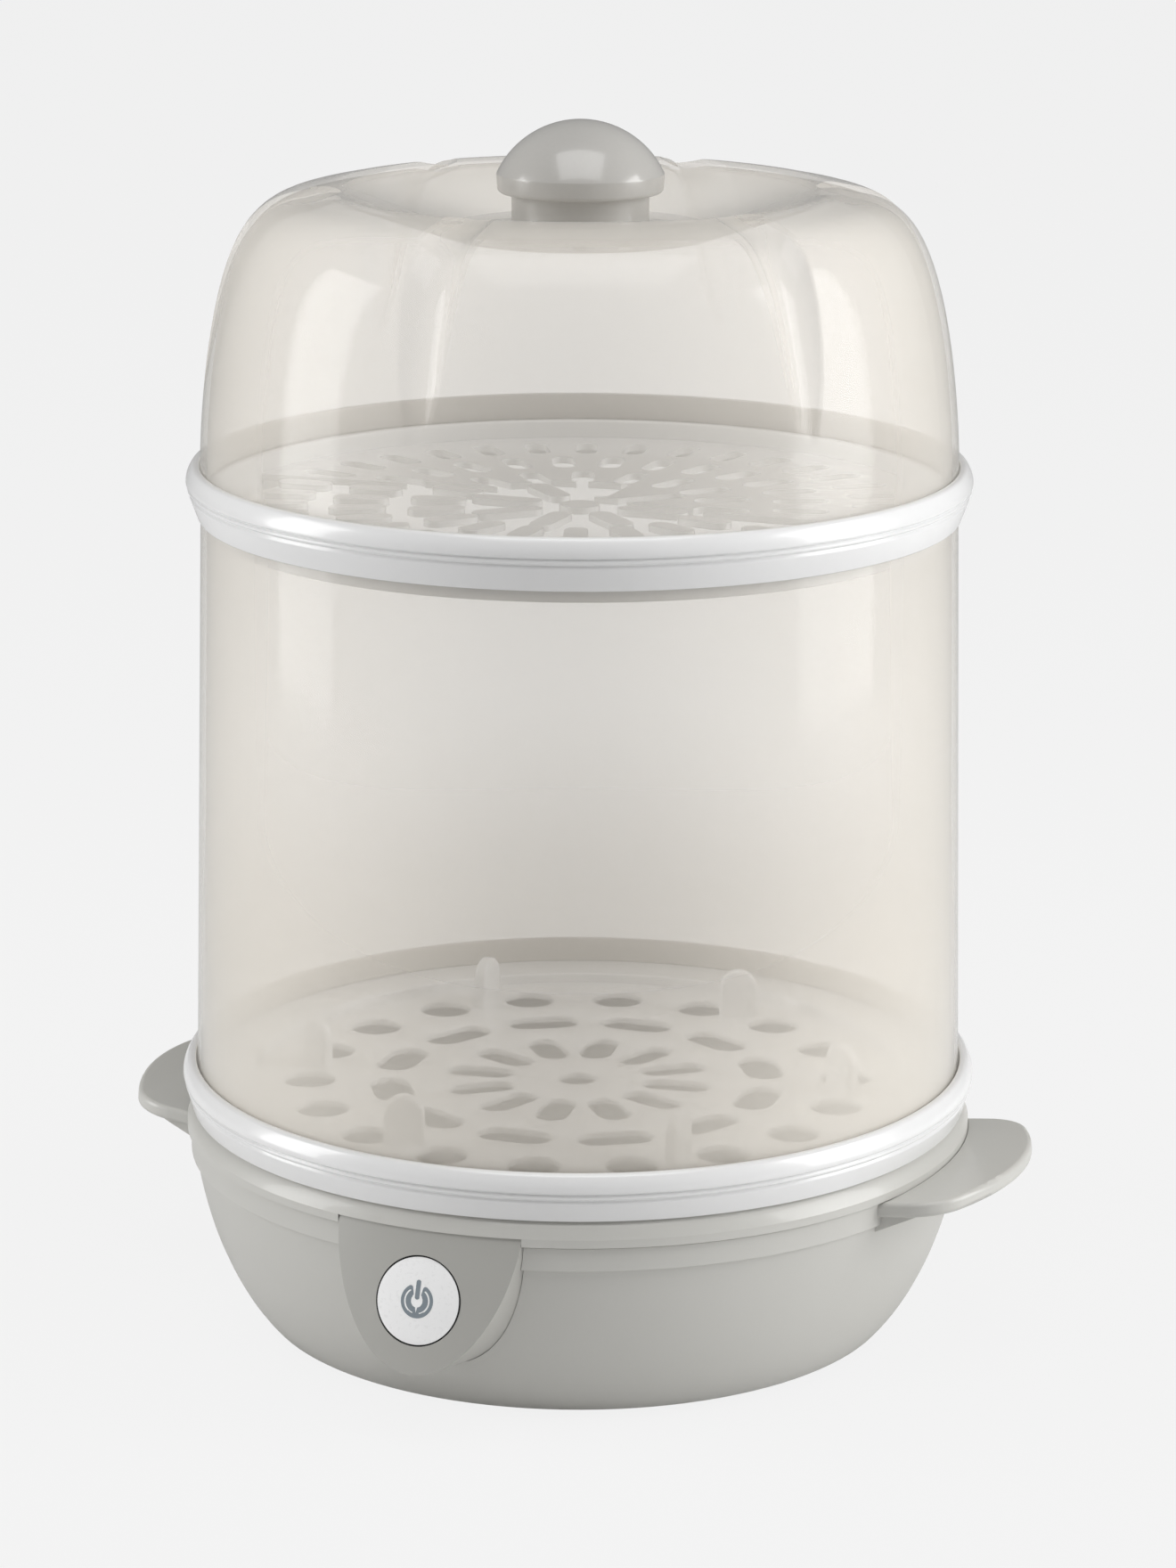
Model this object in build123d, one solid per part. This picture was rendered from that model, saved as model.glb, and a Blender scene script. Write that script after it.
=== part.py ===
from build123d import *
import os
from math import atan, cos, degrees, radians, sin, sqrt

# Electric steam sterilizer for baby bottles. The origin is on the table, in the middle
# of the base. +Z is up, the button looks along -Y and the two handles lie along X.
# All sizes are in millimetres.

# Driving dimensions

# Heights of the stack, from the table up
foot_height = 2.0
housing_height = 57.4
rim_height = 12.6
lower_socket_depth = 7.0
cylinder_length = 178.0
upper_socket_depth = 7.75
lid_height = 88.0

# Distance that a cutting or joining shape runs past the face it meets
overrun = 1.0

# Rise per unit below which a face counts as upright and an edge as level
upright = 0.1
level = 0.5

# Base bowl: a curve that leaves the bottom edge steeply and ends almost upright
bowl_bottom_radius = 96.0
bowl_wall_radius = 117.32
bowl_curve_height = 75.85
bowl_curve_power = 2.446
bowl_curve_root = 1.124
bowl_wall = 2.5
mouth_slope_height = 1.5
band_radius = 117.3
band_height = 7.8
band_wall = 2.8
band_edge = 0.6
body_turn = 30.0
rim_band_radius = 118.4
rim_band_height = 2.4
rim_neck_radius = 115.3
rim_shoulder_height = 4.6
rim_shoulder_bulge = 0.5

# Handles: a wing on each side that rises outwards from the parting line
handle_length = 23.0
handle_half_width = 42.1
handle_end_radius = 72.0
handle_corner_radius = 16.0
handle_tilt = 6.8
handle_thickness = 4.4
handle_edge_round = 1.4
handle_embedding = 4.3
gusset_inset = 1.6
gusset_root = 5.3
gusset_foot_drop = 11.6
gusset_length = 13.7
gusset_edge_drop = 1.6

# Control panel: a rounded chin whose face leans back, narrowest at its front
panel_half_width = 25.0
panel_length = 39.3
panel_face_radius = 117.8
panel_face_slope = 0.30
panel_draft_spread = 5.4
panel_depth = 27.0
panel_front_margin = 0.5
panel_wall = 2.5
panel_flange_width = 4.0
panel_flange_thickness = 1.8
panel_flange_drop = 2.0
panel_seam = 0.15

# Button, switch and board, measured back from the panel face
button_height = 42.5
button_radius = 12.4
button_gap = 0.5
button_travel = 1.5
button_crown = 0.9
button_inset = 0.4
collar_wall = 2.0
collar_length = 6.0
button_flange = 1.8
button_flange_thickness = 1.2
plunger_radius = 2.4
plunger_reach = 2.7
plunger_clearance = 0.3
switch_size = 12.0
board_depth = 25.0
board_width = 38.0
board_height = 21.0
board_post_reach = 16.0
board_post_rise = 7.5
board_thickness = 1.6
post_radius = 2.6
board_screw_radius = 1.2
board_screw_bite = 8.0
board_screw_head_radius = 2.2
board_screw_head_height = 1.5
relay_width = 19.0
relay_height = 15.0
relay_depth = 13.0

# Water reservoir and its heating plate
reservoir_lip_radius = 110.8
reservoir_depth = 31.5
reservoir_floor_radius = 60.0
reservoir_mouth_drop = 5.0
reservoir_mouth_inset = 0.5
reservoir_run_shares = (0.86, 0.60, 0.28)
reservoir_rise_shares = (0.58, 0.21, 0.04)
reservoir_shift_out = 1.4
reservoir_shift_down = 1.9
rib_thickness = 2.0
rib_length = 3.4
fit_clearance = 0.3
plate_opening_radius = 50.0
plate_radius = 48.6
plate_wall = 1.2
plate_flange_radius = 56.0
plate_recess = 1.0
seal_thickness = 1.5
seal_lip_drop = 0.6
clamp_radius = 67.0
clamp_thickness = 1.6
clamp_gap = 1.9
clamp_screw_circle = 62.0
clamp_boss_radius = 3.6
clamp_screw_count = 6
clamp_screw_radius = 1.5
clamp_screw_head_radius = 2.8
clamp_screw_head_height = 1.8
clamp_screw_margin = 0.9
spreader_radius = 44.0
spreader_thickness = 2.0
element_radius = 34.0
element_width = 9.0
element_depth = 8.0
element_arc = 300.0
element_end_turn = 7.0
terminal_radius = 1.5
terminal_length = 12.0
bead_radius = 3.0
bead_length = 6.0
thermostat_radius = 8.0
thermostat_height = 6.3
thermostat_cap_radius = 6.0
thermostat_cap_height = 6.0
bracket_reach = 18.0
bracket_width = 16.0
bracket_length = 45.0
bracket_thickness = 1.2
bracket_boss_radius = 3.0
bracket_screw_radius = 1.3
bracket_screw_bite = 4.0
bracket_screw_head_radius = 2.6
bracket_screw_head_height = 1.6
fuse_radius = 2.5
fuse_length = 16.0
fuse_offset = 17.0
clip_thickness = 0.8
clip_width = 5.0

# Bottom cover, posts, screws and feet
cover_recess = 2.5
cover_gap = 0.3
screw_cup_radius = 5.2
screw_cup_height = 2.2
ledge_width = 4.5
ledge_thickness = 2.0
screw_circle = 74.0
screw_post_radius = 4.5
screw_count = 4
screw_turn = 45.0
screw_radius = 1.6
screw_head_radius = 3.0
screw_head_height = 2.0
screw_bite = 9.0
foot_circle = 84.0
foot_radius = 7.0
foot_stem_radius = 3.0
foot_head_radius = 4.2
foot_head_height = 1.4
vent_count = 12
vent_circle = 30.0
vent_turn = 15.0
vent_width = 3.0
vent_length = 16.0

# Cord inlet at the back
inlet_height = 22.0
inlet_face = 111.5
inlet_boss_radius = 9.0
inlet_boss_length = 9.5
cord_radius = 3.3
cord_clearance = 0.4
bushing_wall = 1.8
bushing_lip_height = 1.4
bushing_lip_length = 2.0
bushing_flange_radius = 7.5
bushing_flange_thickness = 2.5
clamp_block_width = 27.0
clamp_block_depth = 8.0
clamp_block_place = 79.0
clamp_bar_thickness = 3.0
clamp_screw_reach = 9.0
terminal_block_length = 26.0
terminal_block_width = 14.0
terminal_block_height = 12.0
terminal_block_place = 46.0
terminal_count = 3
terminal_screw_radius = 2.2
terminal_well_depth = 4.0
terminal_screw_drop = 1.0

# Trays: one section serves both rings. Each step of the section is a distance inwards
# from the ring's widest edge and a drop from its lip.
tray_wall = 2.0
lip_thickness = 2.2
lip_corner = 0.6
skirt_corner = 1.0
ring_flare = 3.95
ring_flare_drop = 5.2
ring_flare_steps = ((1.25, 0.8), (0.65, 2.6))
ring_groove_steps = ((0.9, 6.1), (0.5, 6.7), (0.6, 7.5), (1.3, 8.2), (1.0, 8.8))
socket_clearance = 0.35
lower_skirt_drop = 14.35
upper_skirt_drop = 15.25
lower_skirt_radius = 116.7
upper_skirt_radius = 112.1
lower_floor_radius = 101.0
lower_floor_drop = 10.0
upper_floor_drop = 13.25
upper_wall_drop = 19.0
hole_radius = 8.0
hole_circle = 81.5
hole_count = 18
hole_turn = 12.5
arc_slot_length = 23.0
arc_slot_width = 12.0
arc_slot_circle = 57.0
arc_slot_count = 12
arc_slot_turn = 2.5
ray_slot_length = 21.0
ray_slot_width = 10.0
ray_slot_circle = 30.5
ray_slot_count = 12
ray_slot_turn = 9.0
centre_hole_radius = 6.0
peg_circle = 80.5
peg_count = 6
peg_turn = 102.5
peg_skew = -46.0
peg_width = 12.0
peg_thickness = 4.0
peg_height = 15.5
vent_slot_width = 7.0
vent_ring_inner = (12.0, 34.0, 57.0, 80.0)
vent_ring_outer = (28.0, 51.0, 74.0, 97.0)
vent_ring_count = (8, 18, 28, 36)

# Clear cylinder
cylinder_bottom_radius = 115.1
cylinder_top_radius = 111.2
cylinder_wall = 2.0

# Lid: an upright wall that rolls over a shoulder into a dished top. The flute shares say
# how deep each flute lies in the wall at its last places up to the top.
lid_radius = 111.2
lid_wall = 2.0
lid_curve_height = 80.22
lid_curve_power = 1.506
lid_curve_root = 12.0
lid_curve_heights = (3.0, 20.0, 36.0, 50.0, 61.0, 69.0, 74.5, 77.8, 79.4)
lid_crown_radius = 73.0
dish_edge_radius = 68.0
dish_edge_drop = 1.8
dish_edge_slope = 1.5
dish_floor_radius = 39.0
dish_depth = 11.7
flute_count = 6
flute_turn = -3.0
flute_radius = 12.0
flute_depth = 3.5
flute_shares = (-0.6, -0.03, 0.37, 0.69, 0.89, 1.0, 1.0, 1.0, 0.85, 0.45)
steam_hole_radius = 2.2
steam_hole_circle = 32.0
steam_hole_count = 4
steam_hole_turn = 45.0

# Knob
knob_neck_radius = 20.0
knob_neck_height = 10.3
knob_rim_radius = 24.4
knob_rim_height = 5.7
knob_cap_height = 15.2
knob_wall = 2.5
knob_boss_radius = 5.0
knob_screw_radius = 2.0
knob_screw_bite = 12.0
knob_screw_head_radius = 4.2
knob_screw_head_height = 3.0
washer_radius = 8.0
washer_thickness = 1.5

# Places that follow from the sizes above
base_floor = foot_height
parting = base_floor + housing_height
rim_top = parting + rim_height
cylinder_base = rim_top + tray_wall
lower_lip = cylinder_base + lower_socket_depth
cylinder_top = cylinder_base + cylinder_length
lid_base = cylinder_top + tray_wall
upper_lip = lid_base + upper_socket_depth
lid_top = lid_base + lid_height
dish_floor = lid_top - dish_depth
cover_top = base_floor + cover_recess
cover_radius = bowl_bottom_radius - bowl_wall - fit_clearance
seat_top = cover_top + screw_cup_height
ledge_top = cover_top + ledge_thickness
band_bottom = parting - band_height
housing_mouth = band_radius - band_wall
handle_tip = band_radius + handle_length
handle_root = sqrt(housing_mouth**2 - handle_half_width**2) - overrun
rib_radius = housing_mouth - fit_clearance
rib_bottom = parting - rib_length
cord_top = inlet_height + cord_radius
reservoir_floor = rim_top - reservoir_depth
plate_top = reservoir_floor - plate_recess
spreader_top = plate_top - plate_wall
spreader_bottom = spreader_top - spreader_thickness
reservoir_underside = reservoir_floor - reservoir_shift_down
plate_flange_top = reservoir_underside - seal_thickness
clamp_top = plate_flange_top - plate_wall
clamp_bottom = clamp_top - clamp_thickness
clamp_screw_tip = reservoir_underside + clamp_screw_margin
thermostat_seat = spreader_bottom - thermostat_height
bracket_bottom = thermostat_seat - bracket_thickness
panel_top = parting + rim_band_height
panel_front = panel_face_radius + panel_face_slope * panel_length
panel_lean = degrees(atan(panel_face_slope))
button_face_radius = panel_face_radius + panel_face_slope * (panel_top - button_height)
switch_front = switch_size - board_depth
board_back = -board_depth - board_thickness
panel_plane = Plane(
    origin=(0, -button_face_radius, button_height),
    x_dir=(1, 0, 0),
    z_dir=(0, -cos(radians(panel_lean)), sin(radians(panel_lean))),
)


# Helpers
def turned_curves(*edges):
    """The solid that joined edges in the (radius, height) plane sweep round the Z axis."""
    return revolve(make_face([Plane.XZ * edge for edge in edges]), Axis.Z)


def turned(*outline):
    """The solid that an outline of (radius, height) points sweeps round the Z axis."""
    return turned_curves(Polyline(*outline, close=True))


def dome_arc(radius, foot, height):
    """The arc of a round cap, from its rim to its top on the Z axis."""
    sphere = (radius**2 + height**2) / (2 * height)
    middle = foot + height - sphere + sqrt(sphere**2 - radius**2 / 4)
    return ThreePointArc((radius, foot), (radius / 2, middle), (0, foot + height))


def ring(outer, inner, bottom, top):
    return turned((inner, bottom), (outer, bottom), (outer, top), (inner, top))


def around(shape, count, circle, turn=0.0):
    """Copies of a shape on a circle, counted from the front (-Y) towards +X."""
    return [Rot(0, 0, turn - 90 + 360 / count * i) * Pos(circle, 0, 0) * shape for i in range(count)]


def pin(radius, bottom, top):
    return Pos(0, 0, bottom) * Cylinder(radius, top - bottom, align=(Align.CENTER, Align.CENTER, Align.MIN))


def block(length, width, bottom, top):
    return Pos(0, 0, bottom) * Box(length, width, top - bottom, align=(Align.CENTER, Align.CENTER, Align.MIN))


def slot(length, width, bottom, top):
    return Pos(0, 0, bottom) * extrude(SlotOverall(length, width), top - bottom)


def screw(radius, length, head_radius, head_height):
    """A pan head screw that points up, with the underside of its head at the origin."""
    return pin(radius, 0, length) + pin(head_radius, -head_height, 0)


def write(name, *solids):
    shape = solids[0] if len(solids) == 1 else Compound(children=list(solids))
    export_step(shape, f"parts/{name}.step")


# Base
def bowl_radius(height):
    """Outer radius of the bowl at a height above its bottom edge."""
    rise = 1 - (1 - height / bowl_curve_height) ** bowl_curve_power
    return bowl_bottom_radius + (bowl_wall_radius - bowl_bottom_radius) * rise ** (1 / bowl_curve_root)


def bowl_line(inset, bottom, top):
    """The bowl's curve, drawn between two heights above the table and moved inwards."""
    heights = [bottom + (top - bottom) * i / 7 for i in range(8)]
    return Spline(*[(bowl_radius(z - base_floor) - inset, z) for z in heights])


def bowl_inside(inset=0.0):
    """The space inside the housing, made smaller by inset."""
    mouth = housing_mouth - inset
    shoulder = band_bottom + overrun
    wall_line = bowl_line(bowl_wall + inset, ledge_top, shoulder)
    return turned_curves(
        wall_line,
        Polyline(wall_line @ 1, (mouth, rib_bottom - mouth_slope_height), (mouth, panel_top + overrun)),
        Polyline((mouth, panel_top + overrun), (0, panel_top + overrun), (0, ledge_top), wall_line @ 0),
    )


def panel_prism(grow, top):
    """The chin's outline drawn out along Y: an upright half ellipse that widens inwards."""
    front = panel_front + panel_front_margin
    tip = Plane(origin=(0, -front, panel_top), x_dir=(1, 0, 0), z_dir=(0, -1, 0))
    root = Plane(origin=(0, panel_depth - front, panel_top), x_dir=(1, 0, 0), z_dir=(0, -1, 0))
    spread = panel_draft_spread + grow
    outline = loft(
        [
            tip * Ellipse(panel_half_width + grow, panel_length + grow),
            root * Ellipse(panel_half_width + spread, panel_length + spread),
        ],
        ruled=True,
    )
    return outline & block(2 * front, 2 * front, 0, top)


def panel_cone(inset=0.0):
    """The solid behind the chin's leaning face, which is part of a cone round the Z axis."""
    low = panel_top - panel_length - panel_draft_spread
    face = panel_face_radius - inset
    foot = face + panel_face_slope * (panel_top - low)
    return turned((0, low), (foot, low), (face, panel_top), (0, panel_top))


def handle_prism(inset, bottom, top):
    """The wing's rounded outline drawn upright, made smaller all round by an inset."""
    middle = (handle_root + handle_tip) / 2
    end = Pos(handle_tip - handle_end_radius, 0, 0) * pin(handle_end_radius - inset, bottom, top)
    bar = block(2 * (middle - handle_root), 2 * (handle_half_width - inset), bottom, top)
    outline = end & Pos(middle, 0, 0) * bar
    corners = outline.edges().filter_by(Axis.Z).group_by(Axis.X)[-1]
    return fillet(corners, handle_corner_radius - inset)


def handle():
    """One tilted wing with the gusset under it. The band of the rim stands clear beside it."""
    plate = handle_prism(0, -handle_thickness, 0)
    outer = [face for face in plate.faces() if face.center().X > handle_root + overrun]
    sides = [face for face in outer if abs(face.normal_at().Z) < upright]
    rims = [edge for face in sides for edge in face.edges() if abs((edge % 0.5).Z) < level]
    plate = fillet(rims, handle_edge_round)
    bend = band_radius - handle_embedding
    wing = Pos(bend, 0, parting) * Rot(0, -handle_tilt, 0) * Pos(-bend, 0, 0) * plate
    wing -= pin(rim_band_radius + fit_clearance, parting - band_edge / 2, parting + handle_thickness)
    foot = parting - gusset_foot_drop
    gusset = turned(
        (handle_root, foot),
        (band_radius - gusset_root, foot),
        (band_radius + gusset_length, parting - gusset_edge_drop),
        (handle_root, parting - handle_thickness / 2),
    )
    return wing + (gusset & handle_prism(gusset_inset, foot, parting))


def inlet_place():
    """A frame at the back of the base whose Z axis points out along +Y."""
    return Plane(origin=(0, inlet_face, inlet_height), x_dir=(1, 0, 0), z_dir=(0, 1, 0))


def make_housing():
    outer_line = bowl_line(0, base_floor, band_bottom)
    edge = band_edge
    body = turned_curves(
        outer_line,
        Polyline(
            outer_line @ 1,
            (band_radius, band_bottom + edge),
            (band_radius, parting - edge),
            (band_radius - edge, parting),
            (0, parting),
            (0, base_floor),
            outer_line @ 0,
        ),
    )
    wing = handle()
    housing = Rot(0, 0, body_turn) * body + wing + Rot(0, 0, 180) * wing
    boss = inlet_place() * pin(inlet_boss_radius, -inlet_boss_length, 0)
    housing += boss
    housing -= bowl_inside() - boss
    housing -= pin(cover_radius + fit_clearance, base_floor, cover_top)
    housing -= pin(cover_radius + fit_clearance - ledge_width, cover_top, ledge_top)
    housing -= inlet_place() * pin(cord_radius + bushing_wall, -inlet_boss_length - overrun, overrun)
    housing -= panel_prism(panel_seam, parting + overrun)
    return housing


def board_corners(shape):
    """Places for the four posts and screws that hold the board behind the panel."""
    return [
        panel_plane * Pos(x, up, 0) * shape
        for x in (-board_post_reach, board_post_reach)
        for up in (-board_post_rise, board_post_rise)
    ]


def make_panel():
    chin = panel_prism(0, panel_top) & panel_cone()
    chin -= panel_prism(-panel_wall, panel_top - panel_wall) & panel_cone(panel_wall)
    chin -= bowl_inside(panel_seam)
    flange = panel_prism(panel_flange_width, rib_bottom - panel_flange_drop)
    flange -= panel_prism(-panel_wall, panel_top)
    flange = flange & (bowl_inside(panel_seam) - bowl_inside(panel_seam + panel_flange_thickness))
    panel = chin + flange
    tube = button_radius + button_gap
    posts = board_corners(pin(post_radius, -board_depth, -panel_wall))
    pilots = board_corners(pin(board_screw_radius, -board_depth, board_screw_bite - board_depth))
    collar = panel_plane * pin(tube + collar_wall, -collar_length, -panel_wall / 2)
    panel = panel + collar + posts
    return panel - pilots - panel_plane * pin(tube, -collar_length - overrun, panel_wall)


def make_button():
    shoulder = -button_inset
    rear = -collar_length - button_flange_thickness
    flange = button_radius + button_flange
    cap = turned_curves(
        dome_arc(button_radius, shoulder, button_crown),
        Polyline(
            (0, shoulder + button_crown),
            (0, -panel_wall),
            (button_radius - collar_wall, -panel_wall),
            (button_radius - collar_wall, rear),
            (flange, rear),
            (flange, -collar_length),
            (button_radius, -collar_length),
            (button_radius, shoulder),
        ),
    )
    return panel_plane * cap


def make_plunger():
    return panel_plane * pin(plunger_radius, switch_front - plunger_reach, -panel_wall)


def make_switch():
    body = block(switch_size, switch_size, -board_depth, switch_front)
    bore_end = switch_front - plunger_reach - button_travel - overrun
    bore = pin(plunger_radius + plunger_clearance, bore_end, switch_front)
    return panel_plane * (body - bore)


def make_board():
    plate = block(board_width, board_height, board_back, -board_depth)
    return panel_plane * plate - board_corners(pin(board_screw_radius, board_back, -board_depth))


def make_relay():
    return panel_plane * Pos(0, -board_post_rise / 3, 0) * block(
        relay_width, relay_height, board_back - relay_depth, board_back
    )


def make_board_screws():
    length = board_thickness + board_screw_bite
    one = screw(board_screw_radius, length, board_screw_head_radius, board_screw_head_height)
    return board_corners(Pos(0, 0, board_back) * one)


def reservoir_line(out, down):
    """The reservoir's inner curve from its mouth to its floor, moved out and down."""
    mouth = reservoir_lip_radius - reservoir_mouth_inset
    run = mouth - reservoir_floor_radius
    foot = reservoir_floor - down
    rise = rim_top - reservoir_mouth_drop - reservoir_floor
    between = [
        (reservoir_floor_radius + run * across + out, foot + rise * up)
        for across, up in zip(reservoir_run_shares, reservoir_rise_shares)
    ]
    return Spline((mouth + out, foot + rise), *between, (reservoir_floor_radius, foot))


def make_reservoir():
    inner = reservoir_line(0, 0)
    outer = reservoir_line(reservoir_shift_out, reservoir_shift_down)
    neck = panel_top + rim_shoulder_height
    halfway = (rim_band_radius + rim_neck_radius) / 2 + rim_shoulder_bulge
    shoulder = ThreePointArc(
        (rim_band_radius, panel_top),
        (halfway, (panel_top + neck) / 2),
        (rim_neck_radius, neck),
    )
    floor_edge = Polyline(
        inner @ 1,
        (plate_opening_radius, reservoir_floor),
        (plate_opening_radius, reservoir_underside),
        outer @ 1,
    )
    rib = Polyline(
        outer @ 0,
        (rib_radius - rib_thickness, (outer @ 0).Y),
        (rib_radius - rib_thickness, rib_bottom),
        (rib_radius, rib_bottom),
        (rib_radius, parting),
        (rim_band_radius, parting),
        (rim_band_radius, panel_top),
    )
    lip = Polyline(
        (rim_neck_radius, neck),
        (rim_neck_radius, rim_top),
        (reservoir_lip_radius, rim_top),
        inner @ 0,
    )
    reservoir = turned_curves(inner, floor_edge, outer, rib, shoulder, lip)
    root = reservoir_underside + overrun
    reservoir += around(pin(screw_post_radius, seat_top, root), screw_count, screw_circle, screw_turn)
    reservoir += around(pin(clamp_boss_radius, clamp_top, root), clamp_screw_count, clamp_screw_circle)
    pilot = pin(screw_radius, seat_top, seat_top + screw_bite)
    reservoir -= around(pilot, screw_count, screw_circle, screw_turn)
    bore = pin(clamp_screw_radius, clamp_top, clamp_screw_tip)
    reservoir -= around(bore, clamp_screw_count, clamp_screw_circle)
    notch = ring(rim_band_radius + overrun, rib_radius, parting - overrun, panel_top)
    return reservoir - (panel_prism(panel_seam, panel_top) & notch)


def make_plate():
    inside = plate_radius - plate_wall
    return turned(
        (0, plate_top),
        (plate_radius, plate_top),
        (plate_radius, plate_flange_top),
        (plate_flange_radius, plate_flange_top),
        (plate_flange_radius, clamp_top),
        (inside, clamp_top),
        (inside, spreader_top),
        (0, spreader_top),
    )


def make_plate_seal():
    lip = reservoir_floor - seal_lip_drop
    return turned(
        (plate_radius, plate_flange_top),
        (plate_flange_radius, plate_flange_top),
        (plate_flange_radius, reservoir_underside),
        (plate_opening_radius, reservoir_underside),
        (plate_opening_radius, lip),
        (plate_radius, lip),
    )


def make_plate_clamp():
    clamp = ring(clamp_radius, plate_radius + clamp_gap, clamp_bottom, clamp_top)
    holes = around(pin(clamp_screw_radius, clamp_bottom, clamp_top), clamp_screw_count, clamp_screw_circle)
    return clamp - holes


def make_clamp_screws():
    length = clamp_screw_tip - clamp_bottom
    one = screw(clamp_screw_radius, length, clamp_screw_head_radius, clamp_screw_head_height)
    return around(Pos(0, 0, clamp_bottom) * one, clamp_screw_count, clamp_screw_circle)


def bracket_ends(shape):
    return [Pos(side * bracket_reach, 0, 0) * shape for side in (-1, 1)]


def make_spreader():
    bosses = bracket_ends(pin(bracket_boss_radius, thermostat_seat, spreader_bottom))
    pilots = bracket_ends(pin(bracket_screw_radius, thermostat_seat, thermostat_seat + bracket_screw_bite))
    return pin(spreader_radius, spreader_bottom, spreader_top) + bosses - pilots


def make_element():
    inner = element_radius - element_width / 2
    outer = element_radius + element_width / 2
    low = spreader_bottom - element_depth
    corner = element_width / 4
    section = Polyline(
        (inner, spreader_bottom),
        (inner, low + corner),
        (inner + corner, low),
        (outer - corner, low),
        (outer, low + corner),
        (outer, spreader_bottom),
        close=True,
    )
    turn = 90 + (360 - element_arc) / 2
    return Rot(0, 0, turn) * revolve(make_face(Plane.XZ * section), Axis.Z, element_arc)


def element_ends(shape):
    """Places near the two ends of the heating element, either side of the back."""
    half_gap = (360 - element_arc) / 2 + element_end_turn
    return [Rot(0, 0, 90 + side * half_gap) * Pos(element_radius, 0, 0) * shape for side in (-1, 1)]


def make_element_beads():
    low = spreader_bottom - element_depth
    return element_ends(ring(bead_radius, terminal_radius, low - bead_length, low))


def make_element_pins():
    low = spreader_bottom - element_depth
    return element_ends(pin(terminal_radius, low - terminal_length, low))


def make_thermostat():
    body = pin(thermostat_radius, thermostat_seat, spreader_bottom)
    return body + pin(thermostat_cap_radius, thermostat_seat - thermostat_cap_height, thermostat_seat)


def make_thermostat_bracket():
    bar = block(bracket_length, bracket_width, bracket_bottom, thermostat_seat)
    holes = bracket_ends(pin(bracket_screw_radius, bracket_bottom, thermostat_seat))
    return bar - pin(thermostat_cap_radius, bracket_bottom, thermostat_seat) - holes


def make_bracket_screws():
    length = bracket_thickness + bracket_screw_bite
    one = screw(bracket_screw_radius, length, bracket_screw_head_radius, bracket_screw_head_height)
    return bracket_ends(Pos(0, 0, bracket_bottom) * one)


def make_fuse():
    fuse = Rot(0, 90, 0) * pin(fuse_radius, -fuse_length / 2, fuse_length / 2)
    return Pos(0, fuse_offset, spreader_bottom - fuse_radius) * fuse


def make_fuse_clip():
    outer = fuse_radius + clip_thickness
    low = spreader_bottom - 2 * fuse_radius
    shell = block(clip_width, 2 * outer, low - clip_thickness, spreader_bottom)
    return Pos(0, fuse_offset, 0) * (shell - block(clip_width, 2 * fuse_radius, low, spreader_bottom))


def make_cover():
    screw_hole = pin(screw_radius + fit_clearance, cover_top, seat_top)
    head_room = pin(screw_head_radius + fit_clearance, base_floor, cover_top)
    groove_width = 2 * cord_radius + cord_clearance
    cord_groove = block(groove_width, clamp_block_depth, inlet_height - cord_radius, cord_top)
    cover = pin(cover_radius, base_floor + cover_gap, cover_top)
    cover += around(pin(screw_cup_radius, cover_top, seat_top), screw_count, screw_circle, screw_turn)
    cover += Pos(0, clamp_block_place, 0) * block(clamp_block_width, clamp_block_depth, cover_top, cord_top)
    cover -= Pos(0, clamp_block_place, 0) * cord_groove
    cover -= clamp_screw_places(pin(clamp_screw_radius, cord_top - screw_bite, cord_top))
    cover -= around(head_room, screw_count, screw_circle, screw_turn)
    cover -= around(screw_hole, screw_count, screw_circle, screw_turn)
    cover -= around(pin(foot_stem_radius, base_floor, cover_top), screw_count, foot_circle, screw_turn)
    cover -= around(slot(vent_length, vent_width, base_floor, cover_top), vent_count, vent_circle, vent_turn)
    return cover


def make_cover_screws():
    one = screw(screw_radius, seat_top - cover_top + screw_bite, screw_head_radius, screw_head_height)
    return around(Pos(0, 0, cover_top) * one, screw_count, screw_circle, screw_turn)


def make_feet():
    foot = pin(foot_radius, 0, base_floor + cover_gap)
    foot += pin(foot_stem_radius, base_floor + cover_gap, cover_top)
    foot += pin(foot_head_radius, cover_top, cover_top + foot_head_height)
    return around(foot, screw_count, foot_circle, screw_turn)


def make_bushing():
    neck = cord_radius + bushing_wall
    end = -inlet_boss_length - bushing_lip_length
    bushing = pin(bushing_flange_radius, 0, bushing_flange_thickness)
    bushing += pin(neck, -inlet_boss_length, 0)
    bushing += pin(neck + bushing_lip_height, end, -inlet_boss_length)
    return inlet_place() * (bushing - pin(cord_radius, end, bushing_flange_thickness))


def clamp_screw_places(shape):
    return [Pos(side * clamp_screw_reach, clamp_block_place, 0) * shape for side in (-1, 1)]


def make_cord_clamp():
    bar = Pos(0, clamp_block_place, 0) * block(
        clamp_block_width, clamp_block_depth, cord_top, cord_top + clamp_bar_thickness
    )
    return bar - clamp_screw_places(pin(clamp_screw_radius, cord_top, cord_top + clamp_bar_thickness))


def make_cord_clamp_screws():
    length = clamp_bar_thickness + screw_bite
    one = screw(clamp_screw_radius, length, clamp_screw_head_radius, clamp_screw_head_height)
    return clamp_screw_places(Pos(0, 0, cord_top + clamp_bar_thickness) * Rot(180, 0, 0) * one)


def terminal_places(shape):
    pitch = terminal_block_length / terminal_count
    first = -pitch * (terminal_count - 1) / 2
    return [Pos(first + pitch * i, terminal_block_place, 0) * shape for i in range(terminal_count)]


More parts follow.
